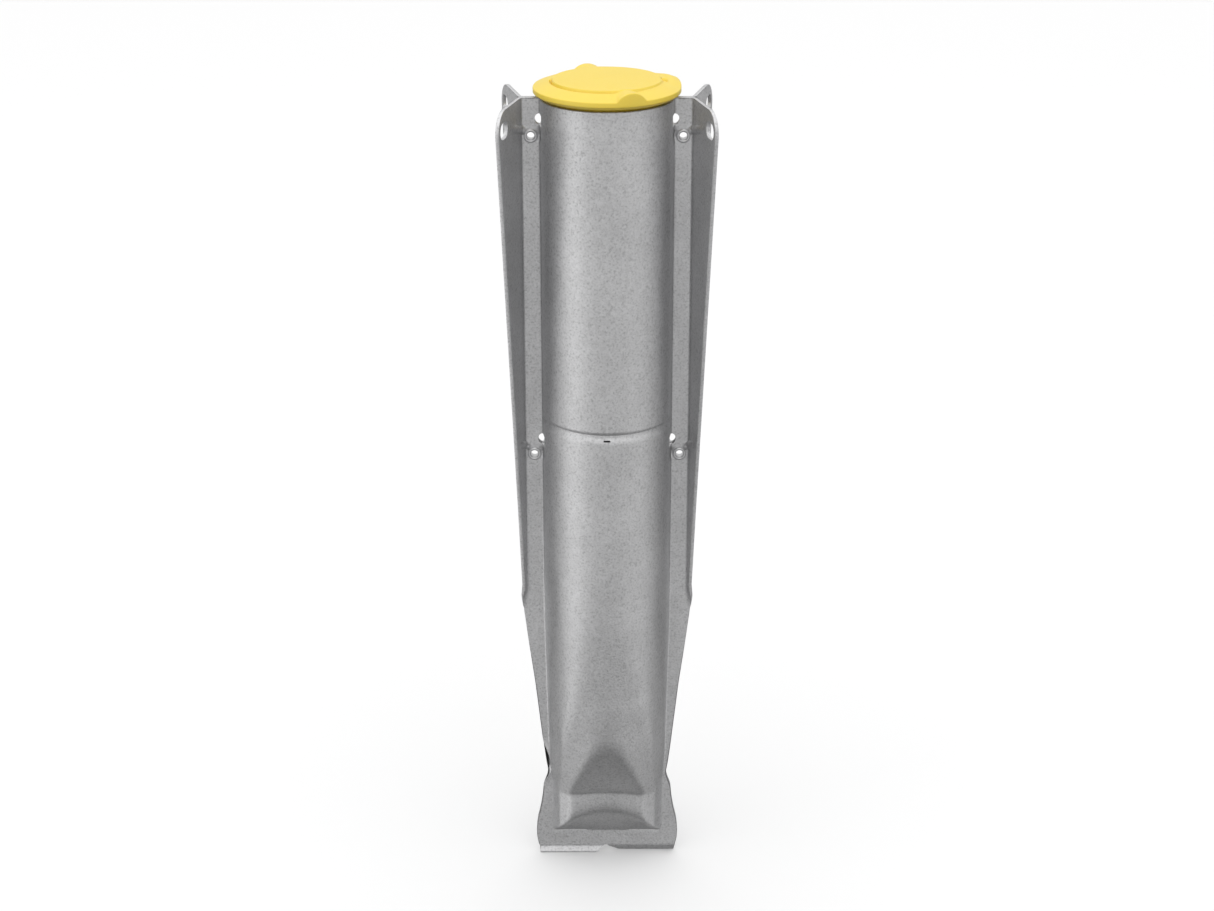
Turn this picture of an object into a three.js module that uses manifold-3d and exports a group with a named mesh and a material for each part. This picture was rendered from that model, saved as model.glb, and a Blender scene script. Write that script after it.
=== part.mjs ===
// A ground spike of pressed, galvanised sheet steel: a buried socket for a round pole, with a lift-off cap.
// Two identical half shells stand back to back on the plane y = 0 and are clinched with four hollow rivets.
// Millimetres, +Z up, -Y is the front. The origin is level with the spike's lower tip, on the socket's axis.

import * as THREE from 'three';
import { mergeVertices } from 'three/addons/utils/BufferGeometryUtils.js';
import Module from 'manifold-3d';

const wasm = await Module();
wasm.setup();

// ---- Driving dimensions ----

const POLE_DIAMETER = 50;
const POLE_CLEARANCE = 0.3;
const SHEET = 1.5;
const PARTING_GAP = 0.3;
const TOTAL_HEIGHT = 346;

const BEAD = { top: 213, bottom: 208.4, depth: 1.3, ramp: 1.2, fadeTurn: 0.2 };
const DRAIN_SLOT = { width: 3.4, height: 1.3, level: 209.25, reach: 8 };

const BEND = { start: 33.2, radius: 2, angle: THREE.MathUtils.degToRad(75), fade: 11.5 };
const WING = { length: 28.7, corner: 9, foot: 122.5, footLength: 0.4 };
const WING_SLOT = { length: 9.5, height: 6.6, level: 338, reach: 21.6 };

const RIVET_COLUMN = 30.45;
const RIVET_LEVELS = { top: 330.6, mid: 194.1 };
const RIVET = { hole: 4.5, barrel: 4.1, bore: 3.2, head: 5.7, headThickness: 0.7, seat: 0.15 };
const CORNER_HOLE = { diameter: 4, column: 26.8, rise: 6.8 };
const PUNCH_DEPTH = 12;

const FOLD = { start: 150, end: 35, slope: 0.74, growth: 1.7, ridge: 24.6, sharpness: 22 };
const FACET = { apex: 71, lipTop: 36, lipDepth: 11.6, lipBottom: 25.6 };
const NARROWING = { start: 120, amount: 2 };
const CORNER = { leg: 1.7, leastLeg: 1.3, depth: 2.6, margin: 1 };

const BLADE_TOP = 12;
const SHORT_EDGE = 3.7;
const TONGUE = { bend: 3.4, angle: THREE.MathUtils.degToRad(38), notch: 5.5 };

const CAP = {
  rim: 29.5, rimBottom: 1.8, rimTop: 4.1, seat: 0.4, seatRadius: 27.3,
  disc: 22.4, discEdge: 7, discTop: 7.5, plug: 24.6, plugDepth: 14, wall: 1.8,
};
const GRIP = { radius: 6.15, direction: THREE.MathUtils.degToRad(19.5), inner: 13, sink: 1.2 };

const STEEL_COLOUR = 0xa9abae;
const CAP_COLOUR = 0xf6df6c;

// How finely the curved sheet is divided.
const TUBE_STEPS = 9;
const CORNER_STEPS = 2;
const BEND_STEPS = 3;
const WING_STEPS = 2;
const ROUND_SEGMENTS = 12;
const CORNER_HOLE_SEGMENTS = 8;
const CAP_SEGMENTS = 40;

const MERGE_DISTANCE = 1e-4;
const WALL_END_ROUNDS = 8;
const WALL_END_CHORD = 0.02;
const BLADE_CUTTER_REACH = 50;

// ---- Values that follow from them ----

const MIDDLE = SHEET / 2;
const TUBE_RADIUS = POLE_DIAMETER / 2 + POLE_CLEARANCE + MIDDLE;
const FLANGE_DEPTH = PARTING_GAP / 2 + MIDDLE;
const BEND_LENGTH = BEND.radius * BEND.angle;
const OUTER_STEPS = 1 + BEND_STEPS + WING_STEPS;

// Half width of the flat blade below the wings, as height and half width.
const BLADE_OUTLINE = [
  [0, 30], [SHORT_EDGE, 30.5], [BLADE_TOP, 31.6], [23, 29.7], [33.7, 28.2],
  [41, 26.7], [56, 28.2], [86, 31.4], [WING.foot, 36],
];

// Heights of the sheet's level rows, from its top edge down to the tongue's tip.
const ROWS = [
  TOTAL_HEIGHT, 345, 342.6, TOTAL_HEIGHT - WING.corner,
  BEAD.top, BEAD.top - BEAD.ramp, BEAD.bottom + BEAD.ramp, BEAD.bottom,
  FOLD.start, WING.foot + BEND.fade, WING.foot, 105, 93, 82, FACET.apex, 63, 55, 48, 41, 37,
  FACET.lipTop - 1, 30, FACET.lipBottom, 21, 16.5, BLADE_TOP, SHORT_EDGE, TONGUE.bend, 0,
];

// ---- Helpers ----

const { clamp, lerp } = THREE.MathUtils;

function share(value, from, to) {
  return clamp((value - from) / (to - from), 0, 1);
}

function outlineAt(points, level) {
  const next = clamp(points.findIndex(([height]) => height >= level), 1, points.length - 1);
  const [low, lowWidth] = points[next - 1];
  const [high, highWidth] = points[next];
  return lerp(lowWidth, highWidth, share(level, low, high));
}

function solidFrom(geometry) {
  const bare = geometry.clone();
  bare.deleteAttribute('normal');
  bare.deleteAttribute('uv');
  const merged = mergeVertices(bare, MERGE_DISTANCE);
  const vertProperties = new Float32Array(merged.attributes.position.array);
  const triVerts = new Uint32Array(merged.index.array);
  return new wasm.Manifold(new wasm.Mesh({ numProp: 3, vertProperties, triVerts }));
}

function geometryFrom(solid) {
  const { vertProperties, triVerts } = solid.getMesh();
  const geometry = new THREE.BufferGeometry();
  geometry.setAttribute('position', new THREE.BufferAttribute(vertProperties, 3));
  geometry.setIndex(new THREE.BufferAttribute(triVerts, 1));
  geometry.computeVertexNormals();
  return geometry;
}

// ---- The middle of the pressed sheet, for the right half of the front shell ----
// A row is a level section. Depth is measured forwards from the parting plane.

function tubeRadius(level) {
  return TUBE_RADIUS - NARROWING.amount * share(level, NARROWING.start, FACET.lipBottom);
}

// Distance from the socket's axis to the sheet, at an angle turned from straight ahead.
// Low down the round tube is folded into two roof planes and cut by a leaning facet.
function sectionRadius(angle, level) {
  const radius = tubeRadius(level);
  const fold = share(level, FOLD.start, FOLD.end);
  const slope = Math.atan(FOLD.slope * fold ** FOLD.growth);
  const ridge = lerp(radius + SHEET, FOLD.ridge, Math.min(1, fold * FOLD.growth)) * Math.cos(slope);
  const lean = (FOLD.ridge - FACET.lipDepth) / (FACET.apex - FACET.lipTop);
  const facet = FACET.lipDepth + lean * Math.max(0, level - FACET.lipTop);
  const planes = fold > 0 ? [[ridge, slope], [ridge, -slope], [facet, 0]] : [];
  let total = 1;
  for (const [distance, turn] of planes) {
    const across = Math.max(0, Math.cos(angle - turn));
    total += (across * radius / distance) ** FOLD.sharpness;
  }
  return radius * total ** (-1 / FOLD.sharpness);
}

function beadDepth(angle, level) {
  const rise = Math.min(level - BEAD.bottom, BEAD.top - level) / BEAD.ramp;
  const faded = Math.PI / 2 - BEAD.fadeTurn;
  return BEAD.depth * clamp(rise, 0, 1) * share(angle, faded, faded - BEAD.fadeTurn);
}

function tubePoint(angle, level) {
  const radius = sectionRadius(angle, level) - beadDepth(angle, level);
  return [radius * Math.sin(angle), radius * Math.cos(angle)];
}

// Where the tube's wall ends and its corner with the flange begins.
function wallEnd(level) {
  let angle = Math.PI / 2;
  for (let round = 0; round < WALL_END_ROUNDS; round += 1) {
    angle = Math.acos(CORNER.depth / sectionRadius(angle, level));
  }
  return angle;
}

function wingLength(level) {
  const full = lerp(WING.footLength, WING.length, share(level, WING.foot, TOTAL_HEIGHT - WING.corner));
  const above = Math.max(0, level - TOTAL_HEIGHT + WING.corner);
  return full - WING.corner + Math.sqrt(WING.corner ** 2 - above ** 2);
}

// Flange, bend and wing, at a distance along the flat sheet from where the bend starts.
function outerPoint(distance, level) {
  const bend = BEND.angle * share(level, WING.foot, WING.foot + BEND.fade);
  if (distance <= 0 || bend === 0) return [BEND.start + distance, FLANGE_DEPTH];
  const radius = BEND_LENGTH / bend;
  const turned = Math.min(distance, BEND_LENGTH) / radius;
  const straight = Math.max(0, distance - BEND_LENGTH);
  return [
    BEND.start + radius * Math.sin(turned) + straight * Math.cos(bend),
    FLANGE_DEPTH + radius * (1 - Math.cos(turned)) + straight * Math.sin(bend),
  ];
}

function outerDistances(cornerEnd, level) {
  if (level <= WING.foot) {
    const span = outlineAt(BLADE_OUTLINE, level) - cornerEnd;
    const first = cornerEnd - BEND.start;
    return Array.from({ length: OUTER_STEPS }, (_, step) => first + span * (step + 1) / OUTER_STEPS);
  }
  const bend = Array.from({ length: BEND_STEPS + 1 }, (_, step) => BEND_LENGTH * step / BEND_STEPS);
  const wing = Array.from(
    { length: WING_STEPS },
    (_, step) => BEND_LENGTH + wingLength(level) * (step + 1) / WING_STEPS,
  );
  return [...bend, ...wing];
}

// From the middle of the tube out to the sheet's edge, as pairs of x and depth.
// Below the lip the section sinks evenly onto the flange, and the tongue at the tip leans back.
function halfSection(level) {
  const form = Math.max(level, FACET.lipBottom);
  const end = wallEnd(form);
  const points = [];
  for (let step = 0; step <= TUBE_STEPS; step += 1) {
    points.push(tubePoint(end * step / TUBE_STEPS, form));
  }
  const [wallX, wallDepth] = points[TUBE_STEPS];
  const [nearX, nearDepth] = tubePoint(end - WALL_END_CHORD, form);
  const cornerX = wallX + (wallX - nearX) / (nearDepth - wallDepth) * (wallDepth - FLANGE_DEPTH);
  const edge = level <= WING.foot ? outlineAt(BLADE_OUTLINE, level) : BEND.start;
  const leg = clamp(edge - CORNER.margin - cornerX, CORNER.leastLeg, CORNER.leg);
  for (let step = 1; step <= CORNER_STEPS; step += 1) {
    const t = step / CORNER_STEPS;
    points.push([
      (1 - t) ** 2 * wallX + 2 * t * (1 - t) * cornerX + t ** 2 * (cornerX + leg),
      (1 - t) ** 2 * wallDepth + (1 - (1 - t) ** 2) * FLANGE_DEPTH,
    ]);
  }
  for (const distance of outerDistances(cornerX + leg, level)) {
    points.push(outerPoint(distance, level));
  }
  const sink = share(level, BLADE_TOP, FACET.lipBottom);
  const lean = Math.max(0, TONGUE.bend - level) * Math.tan(TONGUE.angle);
  return points.map(([x, depth]) => [x, FLANGE_DEPTH + (depth - FLANGE_DEPTH) * sink - lean]);
}

function fullSection(level) {
  const right = halfSection(level);
  const left = right.slice(1).reverse().map(([x, depth]) => [-x, depth]);
  return [...left, ...right].map(([x, depth]) => new THREE.Vector3(x, -depth, level));
}

// ---- The sheet as a closed solid ----

// Moves each point level by half the sheet, more where the sheet slopes, so the thickness stays even.
// Corners are mitred, so flat stretches stay flat. The upper tube and the whole blade count as upright.
function offsetRows(rows, side) {
  const outward = (from, to) => new THREE.Vector2(to.y - from.y, from.x - to.x).normalize();
  return rows.map((row, r) => row.map((point, c) => {
    const before = row[Math.max(c - 1, 0)];
    const after = row[Math.min(c + 1, row.length - 1)];
    const first = outward(c > 0 ? before : point, c > 0 ? point : after);
    const second = outward(c > 0 && after === point ? before : point, after === point ? point : after);
    const mitre = first.clone().add(second).divideScalar(1 + first.dot(second));
    const down = rows[Math.min(r + 1, rows.length - 1)][c].clone().sub(rows[Math.max(r - 1, 0)][c]);
    const normal = down.cross(after.clone().sub(before)).normalize();
    const upright = point.z >= FOLD.start || (point.z <= BLADE_TOP && point.z > TONGUE.bend);
    const shift = side * MIDDLE / (upright ? 1 : Math.hypot(normal.x, normal.y));
    return new THREE.Vector3(point.x + mitre.x * shift, point.y + mitre.y * shift, point.z);
  }));
}

function sheetSolid(rows) {
  const front = offsetRows(rows, 1);
  const back = offsetRows(rows, -1);
  const width = rows[0].length;
  const count = rows.length * width;
  const positions = [...front.flat(), ...back.flat()].flatMap((point) => point.toArray());
  const index = [];
  const quad = (a, b, c, d) => index.push(a, b, c, a, c, d);
  for (let r = 0; r + 1 < rows.length; r += 1) {
    for (let c = 0; c + 1 < width; c += 1) {
      const a = r * width + c;
      quad(a, a + width, a + width + 1, a + 1);
      quad(count + a, count + a + 1, count + a + width + 1, count + a + width);
    }
    const left = r * width;
    const right = left + width - 1;
    quad(left, count + left, count + left + width, left + width);
    quad(right, right + width, count + right + width, count + right);
  }
  for (let c = 0; c + 1 < width; c += 1) {
    const bottom = count - width + c;
    quad(c, c + 1, count + c + 1, count + c);
    quad(bottom, count + bottom, count + bottom + 1, bottom + 1);
  }
  const geometry = new THREE.BufferGeometry();
  geometry.setAttribute('position', new THREE.Float32BufferAttribute(positions, 3));
  geometry.setIndex(index);
  return solidFrom(geometry);
}

// ---- Cutters and the finished half shell ----

function roundCutter(diameter, x, z, segments) {
  const geometry = new THREE.CylinderGeometry(diameter / 2, diameter / 2, PUNCH_DEPTH, segments);
  geometry.translate(x, 0, z);
  return geometry;
}

// A cylinder stands along Y as three.js makes it, which is also the direction of the flange's holes.
function flangeHoles() {
  const cutters = [];
  for (const side of [-1, 1]) {
    for (const level of Object.values(RIVET_LEVELS)) {
      const above = level + CORNER_HOLE.rise;
      cutters.push(roundCutter(RIVET.hole, side * RIVET_COLUMN, level, ROUND_SEGMENTS));
      cutters.push(roundCutter(CORNER_HOLE.diameter, side * CORNER_HOLE.column, above, CORNER_HOLE_SEGMENTS));
    }
  }
  return cutters;
}

function slotShape(length, height) {
  const radius = height / 2;
  const half = length / 2 - radius;
  const shape = new THREE.Shape();
  shape.absarc(half, 0, radius, -Math.PI / 2, Math.PI / 2);
  shape.absarc(-half, 0, radius, Math.PI / 2, Math.PI * 3 / 2);
  return shape;
}

function wingSlot(side) {
  const depth = 4 * SHEET;
  const shape = slotShape(WING_SLOT.length, WING_SLOT.height);
  const geometry = new THREE.ExtrudeGeometry(shape, { depth, bevelEnabled: false, curveSegments: ROUND_SEGMENTS / 2 });
  geometry.translate(0, 0, -depth / 2);
  geometry.rotateX(Math.PI / 2);
  geometry.rotateZ(-side * BEND.angle);
  const [x, y] = outerPoint(BEND_LENGTH + WING_SLOT.reach, WING_SLOT.level);
  geometry.translate(side * x, -y, WING_SLOT.level);
  return geometry;
}

function drainSlot() {
  const geometry = new THREE.BoxGeometry(DRAIN_SLOT.width, DRAIN_SLOT.reach, DRAIN_SLOT.height);
  geometry.translate(0, -TUBE_RADIUS, DRAIN_SLOT.level);
  return geometry;
}

// Everything below the short edge except the tongue, whose inner end slants up to the middle of the blade.
function tongueCutter() {
  const reach = BLADE_CUTTER_REACH;
  const slant = TONGUE.notch / SHORT_EDGE;
  const shape = new THREE.Shape([
    new THREE.Vector2(-reach, SHORT_EDGE),
    new THREE.Vector2(-reach, -SHORT_EDGE),
    new THREE.Vector2(2 * SHORT_EDGE * slant, -SHORT_EDGE),
    new THREE.Vector2(0, SHORT_EDGE),
  ]);
  const geometry = new THREE.ExtrudeGeometry(shape, { depth: reach, bevelEnabled: false });
  geometry.rotateX(Math.PI / 2);
  geometry.translate(0, reach / 2, 0);
  return geometry;
}

function shellSolid() {
  const cutters = [...flangeHoles(), wingSlot(-1), wingSlot(1), drainSlot(), tongueCutter()];
  return cutters.reduce((solid, cutter) => solid.subtract(solidFrom(cutter)), sheetSolid(ROWS.map(fullSection)));
}

// ---- Rivets and cap ----

function rivetGeometry() {
  const flat = PARTING_GAP / 2 + SHEET + RIVET.seat;
  const end = flat + RIVET.headThickness;
  const [bore, barrel, head] = [RIVET.bore / 2, RIVET.barrel / 2, RIVET.head / 2];
  const profile = [
    [bore, -end], [head, -end], [head, -flat], [barrel, -flat],
    [barrel, flat], [head, flat], [head, end], [bore, end], [bore, -end],
  ];
  return new THREE.LatheGeometry(profile.map(([r, y]) => new THREE.Vector2(r, y)), ROUND_SEGMENTS);
}

function lathe(profile) {
  const geometry = new THREE.LatheGeometry(profile.map(([r, z]) => new THREE.Vector2(r, z)), CAP_SEGMENTS);
  return geometry.rotateX(Math.PI / 2);
}

// A finger grip is a half-round arch on the rim that sinks into the disc.
function gripSolid(direction) {
  const length = CAP.rim + SHEET - GRIP.inner;
  const arch = new THREE.CylinderGeometry(GRIP.radius, GRIP.radius, length, 2 * ROUND_SEGMENTS);
  arch.rotateX(-GRIP.sink / length);
  arch.translate(0, -GRIP.inner - length / 2, CAP.rimBottom - GRIP.sink / 2);
  arch.rotateZ(direction);
  const top = 2 * GRIP.radius;
  const limit = lathe([[0, CAP.rimBottom], [CAP.rim, CAP.rimBottom], [CAP.rim, top], [0, top]]);
  return solidFrom(arch).intersect(solidFrom(limit));
}

function capSolid() {
  const inner = CAP.plug - CAP.wall;
  const body = lathe([
    [0, CAP.discTop - CAP.wall], [CAP.disc - CAP.wall, CAP.discEdge - CAP.wall], [inner, CAP.rimBottom],
    [inner, CAP.seat - CAP.plugDepth], [CAP.plug, CAP.seat - CAP.plugDepth], [CAP.plug, CAP.seat],
    [CAP.seatRadius, CAP.seat], [CAP.rim, CAP.rimBottom], [CAP.rim, CAP.rimTop],
    [CAP.disc, CAP.discEdge], [0, CAP.discTop],
  ]);
  const grips = [GRIP.direction, GRIP.direction + Math.PI].map(gripSolid);
  return grips.reduce((solid, grip) => solid.add(grip), solidFrom(body));
}

// ---- The assembly ----

const steel = new THREE.MeshStandardMaterial({ color: STEEL_COLOUR, roughness: 0.45, metalness: 0.9 });
const rivetSteel = new THREE.MeshStandardMaterial({ color: STEEL_COLOUR, roughness: 0.35, metalness: 0.9 });
const plastic = new THREE.MeshStandardMaterial({ color: CAP_COLOUR, roughness: 0.5, metalness: 0 });

const spike = new THREE.Group();

function addPiece(name, geometry, material) {
  const mesh = new THREE.Mesh(geometry, material);
  mesh.name = name;
  spike.add(mesh);
  return mesh;
}

const shell = geometryFrom(shellSolid());
addPiece('front_shell', shell, steel);
addPiece('rear_shell', shell, steel).rotation.z = Math.PI;

for (const [row, level] of Object.entries(RIVET_LEVELS)) {
  for (const [name, side] of [['left', -1], ['right', 1]]) {
    addPiece(`rivet_${row}_${name}`, rivetGeometry(), rivetSteel).position.set(side * RIVET_COLUMN, 0, level);
  }
}

addPiece('closing_cap', geometryFrom(capSolid()), plastic).position.z = TOTAL_HEIGHT;

export default spike;
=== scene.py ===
"""Looks for a galvanised ground spike with a plastic closing cap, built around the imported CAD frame."""
import math

import bmesh
import bpy
import numpy as np
from mathutils import Matrix, Vector


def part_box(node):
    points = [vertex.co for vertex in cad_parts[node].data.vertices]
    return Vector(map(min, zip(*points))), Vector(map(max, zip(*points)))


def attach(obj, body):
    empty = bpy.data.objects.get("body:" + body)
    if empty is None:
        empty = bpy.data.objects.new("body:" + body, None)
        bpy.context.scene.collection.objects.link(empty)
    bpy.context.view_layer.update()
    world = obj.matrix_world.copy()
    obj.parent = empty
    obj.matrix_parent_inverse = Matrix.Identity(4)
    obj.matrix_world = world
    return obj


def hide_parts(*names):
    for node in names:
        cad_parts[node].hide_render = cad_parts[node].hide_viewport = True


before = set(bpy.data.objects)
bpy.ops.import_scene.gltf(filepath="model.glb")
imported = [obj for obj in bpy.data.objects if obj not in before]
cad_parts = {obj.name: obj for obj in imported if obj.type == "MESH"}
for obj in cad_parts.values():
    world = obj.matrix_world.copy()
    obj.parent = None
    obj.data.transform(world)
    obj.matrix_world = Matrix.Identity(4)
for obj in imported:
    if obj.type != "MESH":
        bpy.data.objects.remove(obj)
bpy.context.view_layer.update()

# ---- Sizes, in millimetres. Levels are heights above the spike's tip. ----

MM = 0.001
TINY = 1e-6
TOP = max(corner[2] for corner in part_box("front_shell")) / MM
SHEET = 1.5
EDGE_ROUND = 0.3
FLANGE_DEPTH = 0.9

# Tube: the radius of the sheet's middle, which shrinks a little towards the foot.
TUBE_RADIUS = 26.05
TUBE_FOOT_RADIUS = 24.05
TAPER_START = 120.0
TAPER_END = 25.6

# Bead: an inward groove that the pole stands on. It fades out beside the flanges.
BEAD_TOP = 213.0
BEAD_BOTTOM = 207.7
BEAD_DEPTH = 1.05
BEAD_TOP_RAMP = 1.3
BEAD_BOTTOM_RAMP = 3.2
BEAD_END = math.radians(83)
BEAD_FULL = math.radians(72)
DRAIN_LEVEL = 209.25
DRAIN_HALF_WIDTH = 1.4
DRAIN_HALF_HEIGHT = 0.35
DRAIN_DEPTHS = (-30.0, -22.0)

# Flange, bend and wing.
BEND_START = 33.2
BEND_ANGLE = math.radians(75)
BEND_RADIUS = 2.0
BEND_LENGTH = BEND_RADIUS * BEND_ANGLE
BEND_FADE = 11.5
LEAST_BEND = 1e-4
WING_LENGTH = 28.7
WING_CORNER = 9.0
WING_FOOT = 122.5
WING_FOOT_LENGTH = 0.4
WING_SLOT_LEVEL = 338.0
WING_SLOT_REACH = 21.6
WING_SLOT_RADIUS = 3.3
WING_SLOT_STRETCH = 1.45

# Rivets, their holes, and the holes in the tube's corners above them.
RIVET_COLUMN = 30.45
RIVET_LEVELS = {"top": 330.6, "mid": 194.1}
RIVET_HOLE = 2.25
RIVET_BORE = 1.55
RIVET_BARREL = 2.1
RIVET_GAP = 0.04
RIVET_SEAT = FLANGE_DEPTH + SHEET / 2 + RIVET_GAP
RIVET_HEAD_MIDDLE = 2.2
RIVET_HEAD_HALF_WIDTH = 0.65
RIVET_HEAD_HEIGHT = 0.72
CORNER_HOLE_COLUMN = 26.8
CORNER_HOLE_RISE = 6.8
CORNER_HOLE = 2.05
CORNER_HOLE_STRETCH = 1.15

# Foot: the tube folds into a roof of two slopes with a side wall below each. A facet cuts the roof off, a lip
# stands below it, and a closing slope leads from the lip to the flat blade.
FOLD_START = 150.0
FOLD_END = 35.0
FOLD_TAKEOVER = 0.12
FOLD_SHARPNESS = 26.0
ROOF_SLOPE = 0.86
ROOF_GROWTH = 1.9
RIDGE_DEPTH = 25.4
RIDGE_ROUND = 2.2
RIDGE_LIFT = 3.0
RIDGE_SETTLED = 0.3
FACET_APEX = 71.0
FACET_CURVE = 1.5
FACET_RISE = 0.12
FACET_SOFTNESS = 0.35
SIDE_SLOPE = 2.1
SIDE_FOOT = 23.9
SIDE_SPREAD = 4.2
SIDE_SPREAD_START = 28.0
SIDE_SPREAD_END = 92.0
LIP_TOP = 36.0
LIP_BOTTOM = 25.6
LIP_DEPTH = 11.6
LIP_LEAN = 0.03
LIP_CROWN = 0.8
LIP_HALF_WIDTH = 16.0
CLOSING_DIP = 8.6
CLOSING_HALF_WIDTH = 23.0
CLOSING_SOFTNESS = 2.6
BLADE_TOP = 12.0
SHORT_EDGE = 3.7
TONGUE_BEND = 3.4
TONGUE_ANGLE = math.radians(38)
TONGUE_NOTCH = 5.5

# Half width of the blade below the wings: heights and half widths, softened over a short reach.
BLADE_LEVELS = [0, 3.7, 7, 12, 17, 23, 29, 34.5, 38, 41, 46, 56, 86, 104, WING_FOOT]
BLADE_WIDTHS = [30, 30.5, 31.4, 31.6, 31.1, 29.7, 28.7, 28.3, 26.8, 26.1, 27.0, 28.2, 31.4, 33.8, 36]
BLADE_SOFTENING = (-1.6, -0.8, 0.0, 0.8, 1.6)

# A stiffening rib crosses the bend beside each rivet: its rise above the rivet, and its length.
RIBS = {"top": (2.2, 17.0), "mid": (3.4, 11.0)}
RIB_HEIGHT = 1.1
RIB_HALF_WIDTH = 1.8
RIB_CLIMB = 4.0
RIB_START = (-1.6, 0.4)
RIB_FADE = 0.55

# A dent in the tube's corner beside each rivet.
DENT_DEPTH = 0.8
DENT_RISE = 0.4
DENT_HALF_HEIGHT = 3.6
DENT_COLUMN = 26.9
DENT_HALF_WIDTH = 1.9

# Slow unevenness of pressed sheet, which dies away at the foot and beside the tube.
WAVE_COUNT = 14
WAVE_SHORTEST = 12.0
WAVE_LONGEST = 55.0
WAVE_HEIGHT = 0.022
WAVY_LEVELS = (8.0, 30.0)
WAVY_COLUMNS = (26.0, 22.0)

# The left flange edge of the front shell, sprung inwards and a little forwards above the waist.
BOW_LEVEL = 46.5
BOW_HALF_HEIGHT = 11.5
BOW_COLUMNS = (24.6, 27.4)
BOW_INWARD = 1.9
BOW_FORWARD = 0.45


# ---- Small helpers ----

def share(value, start, end):
    """How far a value is from start to end, as 0 to 1."""
    return np.clip((value - start) / (end - start), 0.0, 1.0)


def smooth(value, start, end):
    t = share(value, start, end)
    return t * t * (3.0 - 2.0 * t)


def lerp(a, b, t):
    return a + (b - a) * t


def bump(x, centre, reach):
    """A smooth hill of height one around a centre, zero beyond its reach."""
    t = np.clip(1.0 - ((x - centre) / reach) ** 2, 0.0, 1.0)
    return t * t


def soft_min(values, sharpness):
    """The least of the values, with a rounded change from one to the next."""
    least = np.maximum(np.minimum.reduce(values), TINY)
    total = sum((least / np.maximum(value, TINY)) ** sharpness for value in values)
    return least * total ** (-1.0 / sharpness)


def soft_max(a, b, width):
    """The greater of two values, rounded over about a width where they cross."""
    return 0.5 * (a + b + np.sqrt((a - b) ** 2 + width ** 2))


def mesh_object(name, vertices, faces):
    mesh = bpy.data.meshes.new(name)
    mesh.from_pydata([tuple(v) for v in np.asarray(vertices) * MM], [], [tuple(f) for f in faces])
    mesh.update()
    piece = bpy.data.objects.new(name, mesh)
    bpy.context.scene.collection.objects.link(piece)
    return piece


def shade(piece, degrees):
    piece.data.shade_smooth()
    piece.data.set_sharp_from_angle(angle=math.radians(degrees))


def apply_modifiers(piece):
    graph = bpy.context.evaluated_depsgraph_get()
    made = bpy.data.meshes.new_from_object(piece.evaluated_get(graph))
    old = piece.data
    piece.modifiers.clear()
    piece.data = made
    made.name = piece.name
    bpy.data.meshes.remove(old)


# ---- The pressed sheet's middle surface ----
# Right half of the front shell. Depth is measured forwards from the parting plane.

def tube_radius(level):
    return lerp(TUBE_RADIUS, TUBE_FOOT_RADIUS, share(level, TAPER_START, TAPER_END))


def foot_front(x, level):
    """Depth of the foot's front: the facet, the lip and the closing slope, one below the other."""
    crown = RIDGE_DEPTH - ROOF_SLOPE * RIDGE_ROUND
    sunk = np.maximum(0.0, (FACET_APEX - level) / (FACET_APEX - LIP_TOP))
    facet = crown - (crown - LIP_DEPTH) * sunk ** FACET_CURVE
    facet = facet + FACET_RISE * np.maximum(0.0, level - FACET_APEX)
    lip = LIP_DEPTH + LIP_LEAN * (LIP_TOP - level) + LIP_CROWN * (1.0 - (x / LIP_HALF_WIDTH) ** 2)
    drop = LIP_BOTTOM - BLADE_TOP - CLOSING_DIP * np.minimum(np.abs(x) / CLOSING_HALF_WIDTH, 1.0) ** 2
    closing = FLANGE_DEPTH + np.maximum(0.0, level - BLADE_TOP) * (LIP_DEPTH - FLANGE_DEPTH) / drop
    return -soft_max(-soft_max(facet, lip, FACET_SOFTNESS), -closing, CLOSING_SOFTNESS)


def tube_height(x, level):
    """How far the sheet stands in front of the flange, at a place across the tube."""
    radius = tube_radius(level)
    round_wall = np.sqrt(np.maximum(radius ** 2 - x ** 2, 0.0))
    fold = share(level, FOLD_START, FOLD_END)
    ridge = lerp(radius + SHEET, RIDGE_DEPTH, np.minimum(1.0, fold * ROOF_GROWTH))
    ridge = ridge + (1.0 - smooth(fold, 0.0, RIDGE_SETTLED)) * RIDGE_LIFT
    roof = ridge - ROOF_SLOPE * fold ** ROOF_GROWTH * np.sqrt(x * x + RIDGE_ROUND ** 2)
    side_foot = SIDE_FOOT + SIDE_SPREAD * smooth(level, SIDE_SPREAD_START, SIDE_SPREAD_END)
    side = FLANGE_DEPTH + SIDE_SLOPE * (side_foot - x)
    surfaces = (round_wall, roof, foot_front(x, level), side)
    heights = [np.broadcast_to(surface, x.shape) - FLANGE_DEPTH for surface in surfaces]
    folded = soft_min(heights, FOLD_SHARPNESS)
    plain = np.maximum(heights[0], 0.0)
    return lerp(plain, folded, smooth(fold, 0.0, FOLD_TAKEOVER))


def bead_depth(turn, level):
    rise = smooth(level, BEAD_BOTTOM, BEAD_BOTTOM + BEAD_BOTTOM_RAMP)
    rise = rise * smooth(level, BEAD_TOP, BEAD_TOP - BEAD_TOP_RAMP)
    return BEAD_DEPTH * rise * smooth(turn, BEAD_END, BEAD_FULL)


def blade_width(level):
    places = [np.minimum(level + offset, WING_FOOT) for offset in BLADE_SOFTENING]
    samples = [np.interp(place, BLADE_LEVELS, BLADE_WIDTHS) for place in places]
    return np.mean(samples, axis=0)


def wing_length(level):
    full = lerp(WING_FOOT_LENGTH, WING_LENGTH, share(level, WING_FOOT, TOP - WING_CORNER))
    above = np.clip(level - TOP + WING_CORNER, 0.0, WING_CORNER)
    return full - WING_CORNER + np.sqrt(WING_CORNER ** 2 - above ** 2)


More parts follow.
